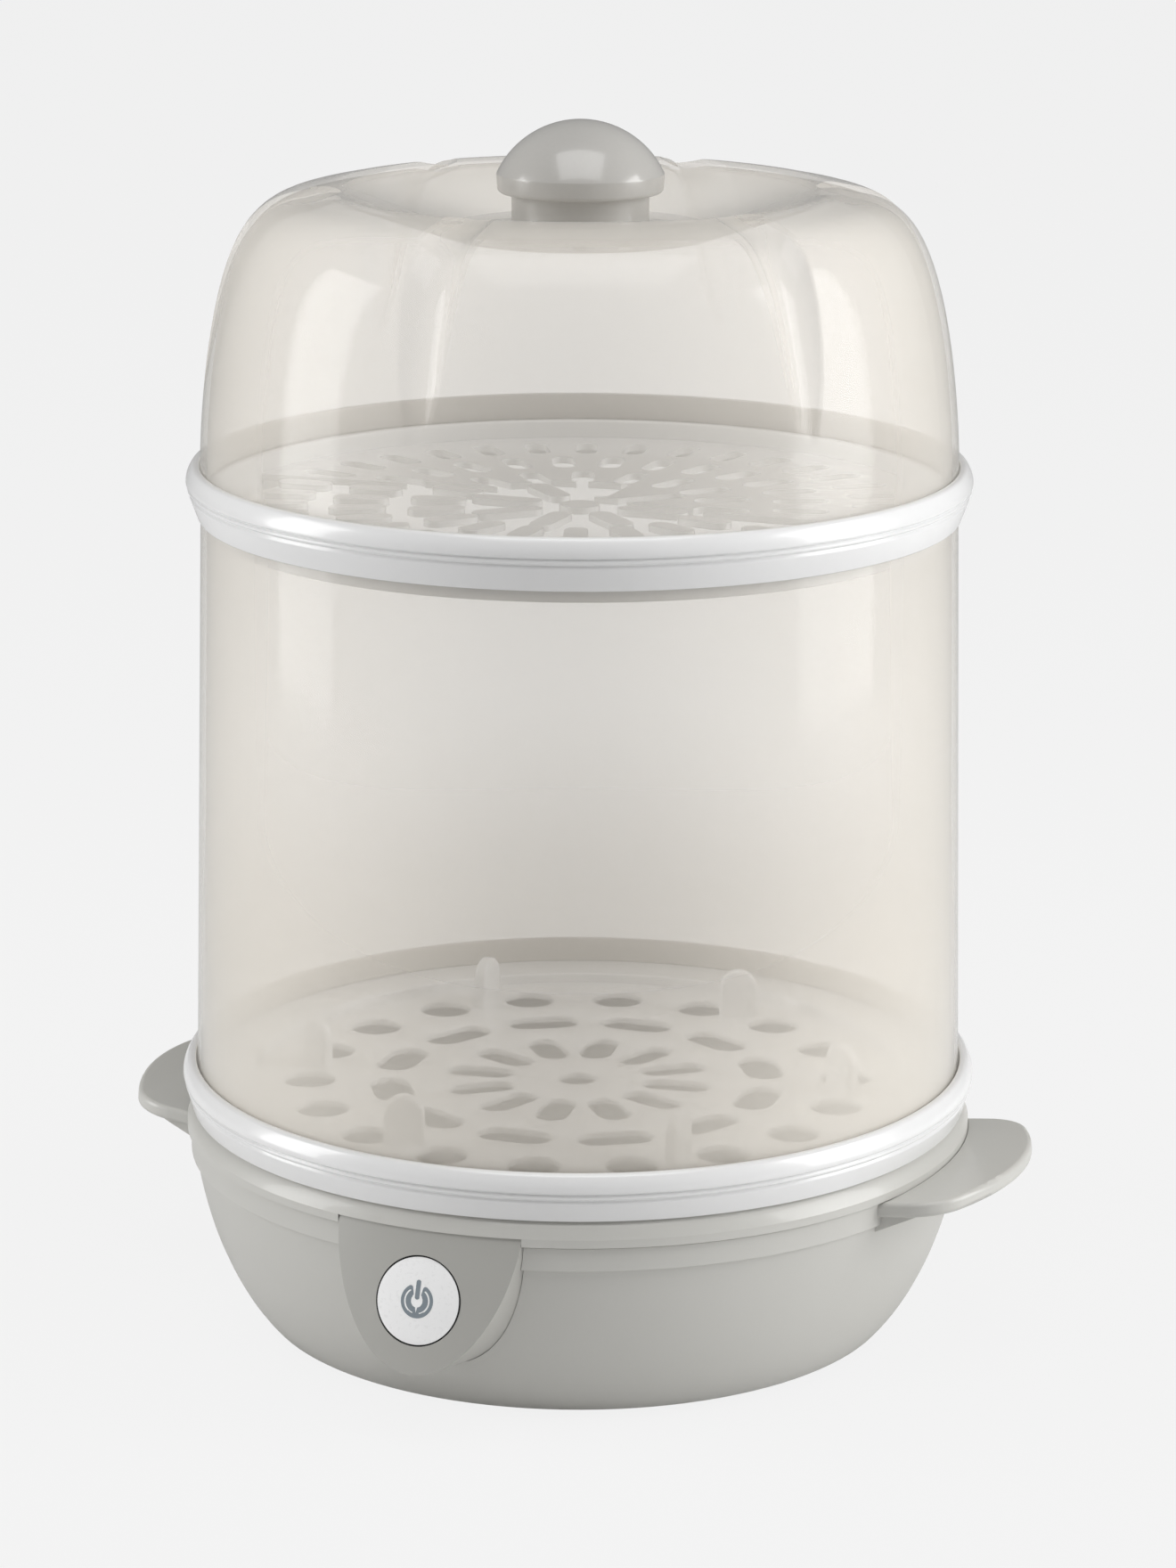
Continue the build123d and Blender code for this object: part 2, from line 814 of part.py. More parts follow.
def make_terminal_block():
    top = cover_top + terminal_block_height
    body = block(terminal_block_length, terminal_block_width, cover_top, top)
    body = Pos(0, terminal_block_place, 0) * body
    return body - terminal_places(pin(terminal_screw_radius, top - terminal_well_depth, top))


def make_terminal_screws():
    top = cover_top + terminal_block_height
    return terminal_places(pin(terminal_screw_radius, top - terminal_well_depth, top - terminal_screw_drop))


# Trays
def tray_shell(lip, ledge, lip_radius, skirt, skirt_inner, skirt_drop, wall_radius, wall_bottom, floor):
    """A tray in one turn: the flared ring, the ledge for the piece above, the wall and floor."""
    flare = lip_radius + ring_flare
    outside = lip_radius + lip_thickness - lip_corner
    lip_edge = Polyline(
        (lip_radius, ledge),
        (lip_radius, lip - lip_corner),
        (lip_radius + lip_corner, lip),
        (outside, lip),
    )
    flare_line = Spline(
        (outside, lip),
        *[(flare - inwards, lip - drop) for inwards, drop in ring_flare_steps],
        (flare, lip - ring_flare_drop),
    )
    groove = Polyline(
        (flare, lip - ring_flare_drop),
        *[(flare - inwards, lip - drop) for inwards, drop in ring_groove_steps],
        (skirt, lip - skirt_drop + skirt_corner),
        (skirt - skirt_corner / 3, lip - skirt_drop),
        (skirt_inner, lip - skirt_drop),
    )
    inside = Polyline(
        (skirt_inner, lip - skirt_drop),
        (skirt_inner, ledge - tray_wall),
        (wall_radius, ledge - tray_wall),
        (wall_radius, wall_bottom),
        (wall_radius - tray_wall, wall_bottom),
        (wall_radius - tray_wall, floor - tray_wall),
        (0, floor - tray_wall),
        (0, floor),
        (wall_radius - tray_wall, floor),
        (wall_radius - tray_wall, ledge),
        (lip_radius, ledge),
    )
    return turned_curves(lip_edge, flare_line, groove, inside)


def make_peg():
    """A round-topped upright tab that keeps a bottle in its place."""
    outline = Pos(0, peg_height - peg_width / 2) * Circle(peg_width / 2)
    outline += Pos(0, (peg_height - peg_width / 2) / 2) * Rectangle(peg_width, peg_height - peg_width / 2)
    upright = Plane(origin=(0, peg_thickness / 2, 0), x_dir=(1, 0, 0), z_dir=(0, -1, 0))
    return extrude(upright * outline, peg_thickness)


def make_lower_tray():
    floor = lower_lip - lower_floor_drop
    low = floor - tray_wall
    tray = tray_shell(
        lower_lip,
        cylinder_base,
        cylinder_bottom_radius + socket_clearance,
        lower_skirt_radius,
        rim_neck_radius + socket_clearance,
        lower_skirt_drop,
        lower_floor_radius,
        low - tray_wall,
        floor,
    )
    arc_slot = Rot(0, 0, 90) * slot(arc_slot_length, arc_slot_width, low, floor)
    ray_slot = slot(ray_slot_length, ray_slot_width, low, floor)
    tray += around(Pos(0, 0, floor) * Rot(0, 0, peg_skew) * make_peg(), peg_count, peg_circle, peg_turn)
    tray -= around(pin(hole_radius, low, floor), hole_count, hole_circle, hole_turn)
    tray -= around(arc_slot, arc_slot_count, arc_slot_circle, arc_slot_turn)
    tray -= around(ray_slot, ray_slot_count, ray_slot_circle, ray_slot_turn)
    return tray - pin(centre_hole_radius, low, floor)


def make_upper_tray():
    floor = upper_lip - upper_floor_drop
    low = floor - tray_wall
    tray = tray_shell(
        upper_lip,
        lid_base,
        lid_radius + socket_clearance,
        upper_skirt_radius,
        cylinder_top_radius + socket_clearance,
        upper_skirt_drop,
        cylinder_top_radius - cylinder_wall - socket_clearance,
        upper_lip - upper_wall_drop,
        floor,
    )
    slots = []
    for inner, outer, count in zip(vent_ring_inner, vent_ring_outer, vent_ring_count):
        slots += around(slot(outer - inner, vent_slot_width, low, floor), count, (inner + outer) / 2)
    return tray - slots - pin(centre_hole_radius, low, floor)


# Cylinder
def make_cylinder():
    return turned(
        (cylinder_bottom_radius - cylinder_wall, cylinder_base),
        (cylinder_bottom_radius, cylinder_base),
        (cylinder_top_radius, cylinder_top),
        (cylinder_top_radius - cylinder_wall, cylinder_top),
    )


# Lid
def lid_curve_radius(height):
    """Radius of the lid's outside at a height above the ring it stands in."""
    return lid_radius * (1 - (height / lid_curve_height) ** lid_curve_power) ** (1 / lid_curve_root)


def lid_outside():
    """Points of the lid's outside, from its bottom edge to its crown, with outward normals."""
    scale = (lid_top - upper_lip) / lid_curve_height
    points = [(lid_radius, lid_base), (lid_radius, upper_lip)]
    points += [(lid_curve_radius(h), upper_lip + h * scale) for h in lid_curve_heights]
    points += [(lid_crown_radius, lid_top)]
    normals = [(1.0, 0.0)]
    for before, after in zip(points, points[2:]):
        across, up = after[0] - before[0], after[1] - before[1]
        size = sqrt(across * across + up * up)
        normals.append((up / size, -across / size))
    normals.append((0.0, 1.0))
    return points, normals


def lid_solid(inset):
    """Everything under the lid's outside, or under its inside when inset by the wall."""
    points, normals = lid_outside()
    wall_line = Spline(
        *[(p[0] - inset * n[0], p[1] - inset * n[1]) for p, n in zip(points, normals)],
        tangents=[(0, 1), (-1, 0)],
    )
    dish_line = Polyline(
        (lid_crown_radius, lid_top - inset),
        (dish_edge_radius + dish_edge_slope, lid_top - inset - dish_edge_drop / 3),
        (dish_edge_radius, lid_top - inset - dish_edge_drop),
        (dish_floor_radius, dish_floor - inset),
        (0, dish_floor - inset),
        (0, lid_base),
        (lid_radius - inset, lid_base),
    )
    return turned_curves(wall_line, dish_line)


def flute_tool(grow):
    """A round tool that follows the wall from below a flute's tip up to the dished top."""
    points, normals = lid_outside()
    start = len(points) - len(flute_shares)
    line = []
    for point, normal, share in zip(points[start:], normals[start:], flute_shares):
        reach = flute_radius - flute_depth * share
        line.append((point[0] + reach * normal[0], point[1] + reach * normal[1]))
    line.append((dish_edge_radius - 2 * flute_radius, lid_top + 1.5 * flute_radius))
    path = Plane.XZ * Spline(*line)
    section = Plane(origin=path @ 0, z_dir=path % 0) * Circle(flute_radius + grow)
    return sweep(section, path)


def make_lid():
    lid = lid_solid(0) - around(flute_tool(0), flute_count, 0, flute_turn)
    hollow = lid_solid(lid_wall) - around(flute_tool(lid_wall), flute_count, 0, flute_turn)
    lid -= hollow
    bottom = dish_floor - lid_wall
    lid -= pin(knob_screw_radius + fit_clearance, bottom, dish_floor)
    steam_hole = pin(steam_hole_radius, bottom, dish_floor)
    lid -= around(steam_hole, steam_hole_count, steam_hole_circle, steam_hole_turn)
    return lid


def make_knob():
    rim = dish_floor + knob_neck_height
    cap = rim + knob_rim_height
    top = cap + knob_cap_height
    inner = knob_neck_radius - knob_wall
    knob = turned_curves(
        dome_arc(knob_rim_radius, cap, knob_cap_height),
        Polyline(
            (0, top),
            (0, dish_floor),
            (knob_neck_radius, dish_floor),
            (knob_neck_radius, rim),
            (knob_rim_radius, rim),
            (knob_rim_radius, cap),
        ),
    )
    hollow = turned(
        (knob_boss_radius, dish_floor),
        (inner, dish_floor),
        (inner, cap),
        (knob_boss_radius + knob_wall, top - 2 * knob_wall),
        (knob_boss_radius, top - 2 * knob_wall),
    )
    return knob - hollow - pin(knob_screw_radius, dish_floor, dish_floor + knob_screw_bite)


def make_knob_screw():
    length = washer_thickness + lid_wall + knob_screw_bite
    seat = dish_floor - lid_wall - washer_thickness
    return Pos(0, 0, seat) * screw(knob_screw_radius, length, knob_screw_head_radius, knob_screw_head_height)


def make_knob_washer():
    top = dish_floor - lid_wall
    return ring(washer_radius, knob_screw_radius, top - washer_thickness, top)


# Write the pieces
os.makedirs("parts", exist_ok=True)

write("base_housing", make_housing())
write("control_panel", make_panel())
write("power_button", make_button())
write("switch_plunger", make_plunger())
write("power_switch", make_switch())
write("control_board", make_board())
write("board_relay", make_relay())
write("board_screws", *make_board_screws())
write("water_reservoir", make_reservoir())
write("heating_plate", make_plate())
write("plate_seal", make_plate_seal())
write("plate_clamp", make_plate_clamp())
write("clamp_screws", *make_clamp_screws())
write("heat_spreader", make_spreader())
write("heating_element", make_element())
write("element_beads", *make_element_beads())
write("element_pins", *make_element_pins())
write("thermostat", make_thermostat())
write("thermostat_bracket", make_thermostat_bracket())
write("bracket_screws", *make_bracket_screws())
write("thermal_fuse", make_fuse())
write("fuse_clip", make_fuse_clip())
write("bottom_cover", make_cover())
write("cover_screws", *make_cover_screws())
write("rubber_feet", *make_feet())
write("cord_bushing", make_bushing())
write("cord_clamp", make_cord_clamp())
write("cord_clamp_screws", *make_cord_clamp_screws())
write("terminal_block", make_terminal_block())
write("terminal_screws", *make_terminal_screws())
write("lower_tray", make_lower_tray())
write("steam_cylinder", make_cylinder())
write("upper_tray", make_upper_tray())
write("lid", make_lid())
write("lid_knob", make_knob())
write("knob_screw", make_knob_screw())
write("knob_washer", make_knob_washer())
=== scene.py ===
import math
import bmesh
import bpy
from mathutils import Matrix, Vector


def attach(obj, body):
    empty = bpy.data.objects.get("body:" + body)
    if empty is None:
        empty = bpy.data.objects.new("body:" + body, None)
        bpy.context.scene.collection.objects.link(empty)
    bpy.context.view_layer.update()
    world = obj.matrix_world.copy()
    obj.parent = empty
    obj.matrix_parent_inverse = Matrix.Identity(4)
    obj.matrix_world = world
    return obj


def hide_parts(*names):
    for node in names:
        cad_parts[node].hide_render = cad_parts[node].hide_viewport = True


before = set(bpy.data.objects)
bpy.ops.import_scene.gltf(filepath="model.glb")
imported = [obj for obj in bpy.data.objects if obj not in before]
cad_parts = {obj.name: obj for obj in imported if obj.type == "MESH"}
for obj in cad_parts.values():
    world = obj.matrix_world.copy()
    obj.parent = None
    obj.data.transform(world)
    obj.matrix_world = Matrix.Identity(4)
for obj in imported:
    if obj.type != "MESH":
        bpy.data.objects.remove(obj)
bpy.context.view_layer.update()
mm = 0.001


# Camera
# The photograph looks down by 14.7 degrees, from the right of the button. The lens is
# long, so the round pieces show as narrow ellipses. The frame is 1320 by 1760 pixels.
camera_place = (506.3, -1291.0, 526.1)
camera_down = 14.662
camera_turn = 21.3
camera_roll = 0.19
lens_length = 110.07
film_height = 36.0

camera_data = bpy.data.cameras.new("camera")
camera_data.lens = lens_length
camera_data.sensor_fit = "VERTICAL"
camera_data.sensor_height = film_height
camera_data.sensor_width = film_height
camera = bpy.data.objects.new("camera", camera_data)
bpy.context.collection.objects.link(camera)
bpy.context.scene.camera = camera
camera.matrix_world = (
    Matrix.Translation(Vector(camera_place) * mm)
    @ Matrix.Rotation(math.radians(camera_turn), 4, "Z")
    @ Matrix.Rotation(math.radians(90 - camera_down), 4, "X")
    @ Matrix.Rotation(math.radians(camera_roll), 4, "Z")
)
camera_data.clip_start = 0.05
camera_data.clip_end = 60
bpy.context.scene.view_settings.view_transform = "Standard"


# Table and backdrop
# A wide pale table with no edge in view. The camera sees it at the photograph's pale
# grey, and the soft shadow under the base stays on it.
class Socket:
    """A value or link in a material that takes part in sums written as expressions."""

    def __init__(self, paint, link):
        self.paint = paint
        self.link = link

    def sum(self, operation, *others):
        values = dict(enumerate((self, *others)))
        return self.paint.node("Math", {"operation": operation}, values)

    def __add__(self, other):
        return self.sum("ADD", other)

    def __mul__(self, other):
        return self.sum("MULTIPLY", other)

    def __pow__(self, other):
        return self.sum("POWER", other)

    __radd__ = __add__
    __rmul__ = __mul__


class Paint:
    """A node material. Its node() makes any node and gives back one of its outputs."""

    def __init__(self, name):
        self.material = bpy.data.materials.new(name)
        self.material.use_nodes = True
        self.tree = self.material.node_tree
        self.tree.nodes.clear()

    def node(self, kind, settings=None, inputs=None, output=0):
        made = self.tree.nodes.new("ShaderNode" + kind)
        for key, value in (settings or {}).items():
            if key == "stops":
                for stop, (place, colour) in zip(self.stops(made, len(value)), value):
                    stop.position = place
                    stop.color = colour
            else:
                setattr(made, key, value)
        for key, value in (inputs or {}).items():
            self.join(made, key, value)
        return Socket(self, made.outputs[output]) if len(made.outputs) else None

    def stops(self, ramp, count):
        elements = ramp.color_ramp.elements
        while len(elements) < count:
            elements.new(1.0)
        return elements

    def join(self, made, key, value):
        if isinstance(value, Socket):
            self.tree.links.new(value.link, made.inputs[key])
        else:
            made.inputs[key].default_value = value

    def finish(self, surface):
        self.node("OutputMaterial", None, {"Surface": surface})
        return self.material


def grey(level):
    return (level, level, level, 1.0)


def linear(*colour):
    """The linear colour of red, green and blue as they show on a screen, from 0 to 255."""
    return tuple(((c / 255 + 0.055) / 1.055) ** 2.4 for c in colour) + (1.0,)


table_tone = linear(244, 244, 244)
table_reach = 12.0
shadow_share = 0.05

paint = Paint("table")
shown = paint.node("LightPath", output="Is Camera Ray")
lit = paint.node("BsdfDiffuse", None, {"Color": grey(0.8)})
glow = paint.node("Emission", None, {"Color": table_tone, "Strength": 1.0})
seen = paint.node("MixShader", None, {0: 1 - shadow_share, 1: lit, 2: glow})
table_paint = paint.finish(paint.node("MixShader", None, {0: shown, 1: lit, 2: seen}))

bm = bmesh.new()
bmesh.ops.create_grid(bm, x_segments=1, y_segments=1, size=table_reach)
table_mesh = bpy.data.meshes.new("table")
bm.to_mesh(table_mesh)
bm.free()
table = bpy.data.objects.new("table", table_mesh)
bpy.context.collection.objects.link(table)
table_mesh.materials.append(table_paint)


# Studio light
# Two tall soft boxes stand at the sides, the right one stronger, and a wide one hangs
# above. The room is an even pale grey.
world = bpy.data.worlds.new("studio")
world.use_nodes = True
bpy.context.scene.world = world
world_nodes = world.node_tree.nodes
world_links = world.node_tree.links
world_nodes.clear()
room_light = world_nodes.new("ShaderNodeBackground")
room_light.inputs["Color"].default_value = grey(1.0)
room_light.inputs["Strength"].default_value = 0.24
room_seen = world_nodes.new("ShaderNodeBackground")
room_seen.inputs["Color"].default_value = table_tone
room_path = world_nodes.new("ShaderNodeLightPath")
room_mix = world_nodes.new("ShaderNodeMixShader")
room_end = world_nodes.new("ShaderNodeOutputWorld")
world_links.new(room_path.outputs["Is Camera Ray"], room_mix.inputs[0])
world_links.new(room_light.outputs[0], room_mix.inputs[1])
world_links.new(room_seen.outputs[0], room_mix.inputs[2])
world_links.new(room_mix.outputs[0], room_end.inputs["Surface"])

object_middle = Vector((0, 0, 0.18))


def soft_box(name, azimuth, elevation, distance, width, height, power):
    """A lamp aimed at the object. Azimuth counts from the camera's side towards its right."""
    turn = math.radians(azimuth + camera_turn)
    rise = math.radians(elevation)
    out = Vector((math.sin(turn) * math.cos(rise), -math.cos(turn) * math.cos(rise), math.sin(rise)))
    lamp = bpy.data.lights.new(name, "AREA")
    lamp.shape = "RECTANGLE"
    lamp.size = width
    lamp.size_y = height
    lamp.energy = power
    holder = bpy.data.objects.new(name, lamp)
    bpy.context.collection.objects.link(holder)
    holder.location = object_middle + out * distance
    holder.rotation_euler = (-out).to_track_quat("-Z", "Y").to_euler()
    return holder


soft_box("right_box", 80, 16, 1.5, 0.8, 1.3, 19)
soft_box("left_box", -86, 14, 1.5, 0.6, 1.2, 13)
soft_box("top_box", 0, 72, 1.5, 1.2, 1.0, 10)


# Plain finishes for the pieces in and under the base
# Most are hidden. The heating plate shows when the lower tray is lifted, the cord bushing
# shows at the back, and the bottom cover and the feet show from below.
def moulded(name, colour, rough, metal=0.0, grain=0.04, scale=900.0, bump=0.02, coat=0.0):
    """A moulded, stamped or drawn surface with a fine uneven grain."""
    paint = Paint(name)
    place = paint.node("TexCoord", output="Object")
    noise = paint.node("TexNoise", None, {"Vector": place, "Scale": scale, "Detail": 3.0})
    dark = tuple(c * (1 - grain) for c in colour[:3]) + (1.0,)
    tone = paint.node("Mix", {"data_type": "RGBA"}, {0: noise, 6: dark, 7: colour}, output=2)
    height = paint.node("Bump", None, {"Strength": bump, "Distance": 0.0002, "Height": noise})
    surface = paint.node("BsdfPrincipled", None, {
        "Base Color": tone,
        "Roughness": rough + noise * 0.06,
        "Metallic": metal,
        "Coat Weight": coat,
        "Normal": height,
    })
    return paint.finish(surface)


def dress(material, *names):
    """Gives one material to whole nodes of the CAD model."""
    for name in names:
        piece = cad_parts[name]
        piece.data.materials.clear()
        piece.data.materials.append(material)


steel = moulded("steel", grey(0.55), 0.3, metal=1.0)
aluminium = moulded("aluminium", grey(0.65), 0.4, metal=1.0)
brass = moulded("brass", (0.7, 0.52, 0.22, 1.0), 0.3, metal=1.0)
ceramic = moulded("ceramic", linear(235, 232, 225), 0.6)
inner_plastic = moulded("inner_plastic", linear(225, 224, 220), 0.45)
rubber = moulded("rubber", linear(70, 70, 70), 0.7)
dress(steel, "board_screws", "clamp_screws", "element_pins", "bracket_screws", "cover_screws")
dress(steel, "cord_clamp_screws", "knob_screw", "plate_clamp", "thermostat_bracket", "fuse_clip")
dress(steel, "thermal_fuse", "heating_plate")
dress(aluminium, "heat_spreader", "heating_element")
dress(brass, "terminal_screws")
dress(ceramic, "element_beads", "thermostat")
dress(inner_plastic, "switch_plunger", "power_switch", "cord_clamp", "terminal_block")
dress(rubber, "plate_seal", "rubber_feet", "cord_bushing", "knob_washer")
dress(moulded("board", linear(40, 110, 60), 0.4), "control_board")
dress(moulded("relay", linear(30, 30, 32), 0.4), "board_relay")
dress(moulded("cover_plastic", linear(176, 175, 170), 0.5), "bottom_cover")


# Base
# A glossy warm grey bowl with a wing on each side and, inside it, the water reservoir
# with its rim. The chin in front is a piece of its own, pushed in from below the rim.
base_grey = linear(197, 196, 191)
panel_grey = linear(174, 173, 168)
base_plastic = moulded("base_plastic", base_grey, 0.36, scale=2600.0, coat=0.2)
panel_plastic = moulded("panel_plastic", panel_grey, 0.34, scale=2600.0, coat=0.2)
dress(base_plastic, "base_housing", "water_reservoir")
dress(panel_plastic, "control_panel")


# Lower tray
# A white moulded ring with a floor inside it. It stands on the rim of the base, and the
# clear cylinder stands in its socket. Steam comes up through the holes of the floor.
def turned(outline, rounds=None, steps=240):
    """A solid turned round the Z axis from an outline of (radius, height) points in millimetres.

    rounds gives the size of the rounding at some of its corners, by their number.
    """
    bm = bmesh.new()
    corners = [bm.verts.new((radius * mm, 0, height * mm)) for radius, height in outline]
    bm.faces.new(corners)
    for number, size in (rounds or {}).items():
        bmesh.ops.bevel(
            bm,
            geom=[corners[number]],
            offset=size * mm,
            segments=4,
            profile=0.5,
            affect="VERTICES",
            material=-1,
            clamp_overlap=False,
        )
    bmesh.ops.delete(bm, geom=bm.faces[:], context="FACES_ONLY")
    on_axis = [edge for edge in bm.edges if all(abs(v.co.x) < 1e-7 for v in edge.verts)]
    bmesh.ops.delete(bm, geom=on_axis, context="EDGES")
    bmesh.ops.spin(
        bm,
        geom=bm.verts[:] + bm.edges[:],
        cent=(0, 0, 0),
        axis=(0, 0, 1),
        angle=math.tau,
        steps=steps,
        use_merge=True,
    )
    bmesh.ops.remove_doubles(bm, verts=bm.verts[:], dist=1e-6)
    bmesh.ops.recalc_face_normals(bm, faces=bm.faces[:])
    return bm


def add_piece(name, bm, material, body, replaced=(), sharp=35):
    """Makes an object of a finished mesh, with its finish and the body that it moves with."""
    mesh = bpy.data.meshes.new(name)
    bm.to_mesh(mesh)
    bm.free()
    mesh.materials.append(material)
    mesh.shade_smooth()
    mesh.set_sharp_from_angle(angle=math.radians(sharp))
    made = bpy.data.objects.new(name, mesh)
    bpy.context.collection.objects.link(made)
    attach(made, body)
    if replaced:
        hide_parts(*replaced)
    return made


def curve(start, end, bulge, count=8):
    """Points of a shallow curve between two points, both left out. It bulges sideways."""
    (r0, z0), (r1, z1) = start, end
    points = []
    for i in range(1, count):
        share = i / count
        push = 4 * bulge * share * (1 - share)
        points.append((r0 + (r1 - r0) * share + push, z0 + (z1 - z0) * share))
    return points


ring_flare = 3.95
ring_lip = 2.0
ring_wall = 2.0
face_drop = 5.2
face_bulge = 0.55
floor_thickness = 2.0


def ring_outline(lip_radius, lip, ledge, skirt, skirt_drop, socket, under, wall, wall_bottom):
    """The white ring's outline: socket and lip, flared face, two beads, lower face and wall."""
    flare = lip_radius + ring_flare
    outline = [(lip_radius, ledge), (lip_radius, lip), (lip_radius + ring_lip, lip)]
    rounds = {1: 0.5, 2: 0.7}
    outline += curve((lip_radius + ring_lip, lip), (flare, lip - face_drop), face_bulge)
    first = len(outline)
    outline += [
        (flare, lip - face_drop),
        (flare - 0.95, lip - 5.75),
        (flare - 0.35, lip - 6.35),
        (flare - 0.45, lip - 6.95),
        (flare - 1.35, lip - 7.5),
        (flare - 0.95, lip - 8.5),
    ]
    for i, size in enumerate((0.3, 0.15, 0.25, 0.2, 0.2, 0.4)):
        rounds[first + i] = size
    last = len(outline)
    outline += [
        (skirt, lip - skirt_drop),
        (socket, lip - skirt_drop),
        (socket, under),
        (wall, under),
        (wall, wall_bottom),
        (wall - ring_wall, wall_bottom),
        (wall - ring_wall, ledge),
    ]
    rounds.update({last: 0.5, last + 4: 0.4, last + 5: 0.4, last + 6: 0.7})
    return outline, rounds


def hole_outline(length, width, steps=8):
    """Points round a hole with round ends that is length long and width wide, at the origin."""
    radius = width / 2
    reach = (length - width) / 2
    points = []
    for side in (1, -1):
        for i in range(steps + 1):
            turn = math.radians(-90 + 180 * i / steps) + (0 if side > 0 else math.pi)
            points.append(Vector((side * reach + radius * math.cos(turn), radius * math.sin(turn), 0)))
    return points


def ring_of(shape, count, circle, turn, twist=0.0):
    """Copies of a hole's points on a circle. turn counts from the front towards +X."""
    copies = []
    for i in range(count):
        place = Matrix.Rotation(math.radians(turn - 90 + 360 / count * i), 3, "Z")
        own = Matrix.Rotation(math.radians(twist), 3, "Z")
        copies.append([place @ (own @ point + Vector((circle, 0, 0))) for point in shape])
    return copies


def floor_plate(bm, radius, bottom, top, holes, edge=0.4):
    """Adds a round plate with holes, its upper hole edges rounded, to a mesh."""
    turns = [math.tau * i / 192 for i in range(192)]
    rim = [Vector((radius * math.cos(turn), radius * math.sin(turn), 0)) for turn in turns]
    wires = []
    for loop in [rim] + holes:
        points = [p for i, p in enumerate(loop) if (p - loop[i - 1]).length > 1e-4]
        corners = [bm.verts.new((p.x * mm, p.y * mm, bottom * mm)) for p in points]
        wires += [bm.edges.new((a, b)) for a, b in zip(corners, corners[1:] + corners[:1])]
    filled = bmesh.ops.triangle_fill(bm, edges=wires, use_beauty=True, use_dissolve=False)
    under = [f for f in filled["geom"] if isinstance(f, bmesh.types.BMFace)]
    raised = bmesh.ops.extrude_face_region(bm, geom=under, use_keep_orig=True)["geom"]
    upper = [v for v in raised if isinstance(v, bmesh.types.BMVert)]
    bmesh.ops.translate(bm, verts=upper, vec=(0, 0, (top - bottom) * mm))
    over = {f for f in raised if isinstance(f, bmesh.types.BMFace)}
    around = {e for f in over for e in f.edges if sum(g in over for g in e.link_faces) == 1}
    inner = [e for e in around if e.verts[0].co.xy.length < (radius - 0.5) * mm]
    touched = {f for v in upper for f in v.link_faces} | set(under)
    bmesh.ops.recalc_face_normals(bm, faces=list(touched))
    bmesh.ops.bevel(
        bm,
        geom=inner,
        offset=edge * mm,
        segments=2,
        profile=0.5,
        affect="EDGES",
        material=-1,
        clamp_overlap=True,
    )


peg_count = 6
peg_circle = 80.5
peg_turn = 12.5
peg_twist = -46
peg_width = 12.0
peg_thickness = 4.0
peg_height = 15.5
peg_embedding = 1.0
peg_edge = 1.2


def peg():
    """An upright tab with a round top, its edges rounded, standing at the origin."""
    bm = bmesh.new()
    radius = peg_width / 2
    turns = [math.pi * i / 16 for i in range(17)]
    points = [(-radius, -peg_embedding), (radius, -peg_embedding)]
    points += [(radius * math.cos(a), peg_height - radius + radius * math.sin(a)) for a in turns]
    front = [bm.verts.new((x * mm, -peg_thickness / 2 * mm, z * mm)) for x, z in points]
    face = bm.faces.new(front)
    raised = bmesh.ops.extrude_face_region(bm, geom=[face], use_keep_orig=True)["geom"]
    back = [v for v in raised if isinstance(v, bmesh.types.BMVert)]
    bmesh.ops.translate(bm, verts=back, vec=(0, peg_thickness * mm, 0))
    bmesh.ops.recalc_face_normals(bm, faces=bm.faces[:])
    flat_sides = (set(front), set(back))
    round_edges = [
        e for e in bm.edges
        if any(side.issuperset(e.verts) for side in flat_sides) and max(v.co.z for v in e.verts) > 0
    ]
    bmesh.ops.bevel(
        bm,
        geom=round_edges,
        offset=peg_edge * mm,
        segments=4,
        profile=0.5,
        affect="EDGES",
        material=-1,
        clamp_overlap=True,
    )
    return bm


tray_white = linear(230, 230, 230)
white_plastic = moulded(
    "white_plastic",
    tray_white,
    0.2,
    scale=500.0,
    bump=0.01,
    coat=0.25,
    grain=0.012,
)
lower_lip = 81.0
lower_floor = 71.0
lower_floor_radius = 99.2
middle_hole = 12.0

outline, rounds = ring_outline(
    lip_radius=115.45,
    lip=lower_lip,
    ledge=74.0,
    skirt=116.7,
    skirt_drop=14.35,
    socket=115.65,
    under=72.0,
    wall=101.0,
    wall_bottom=67.0,
)
bm = turned(outline, rounds)
holes = ring_of(hole_outline(16, 16), count=18, circle=81.5, turn=12.5)
holes += ring_of(hole_outline(23, 12), count=12, circle=57.0, turn=2.5, twist=90)
holes += ring_of(hole_outline(21, 10), count=12, circle=30.5, turn=9.0)
holes += [hole_outline(middle_hole, middle_hole)]
floor_plate(bm, lower_floor_radius, lower_floor - floor_thickness, lower_floor, holes)
add_piece("white_lower_tray", bm, white_plastic, "lower_tray", ["lower_tray"])

bm = bmesh.new()
for i in range(peg_count):
    one = peg()
    turn = Matrix.Rotation(math.radians(peg_turn + 360 / peg_count * i), 4, "Z")
    out = Matrix.Translation(Vector((peg_circle, 0, lower_floor)) * mm)
    own = Matrix.Rotation(math.radians(peg_twist), 4, "Z")
    bmesh.ops.transform(one, matrix=turn @ out @ own, verts=one.verts[:])
    copy = bpy.data.meshes.new("peg")
    one.to_mesh(copy)
    one.free()
    bm.from_mesh(copy)
    bpy.data.meshes.remove(copy)
add_piece("bottle_pegs", bm, white_plastic, "lower_tray")


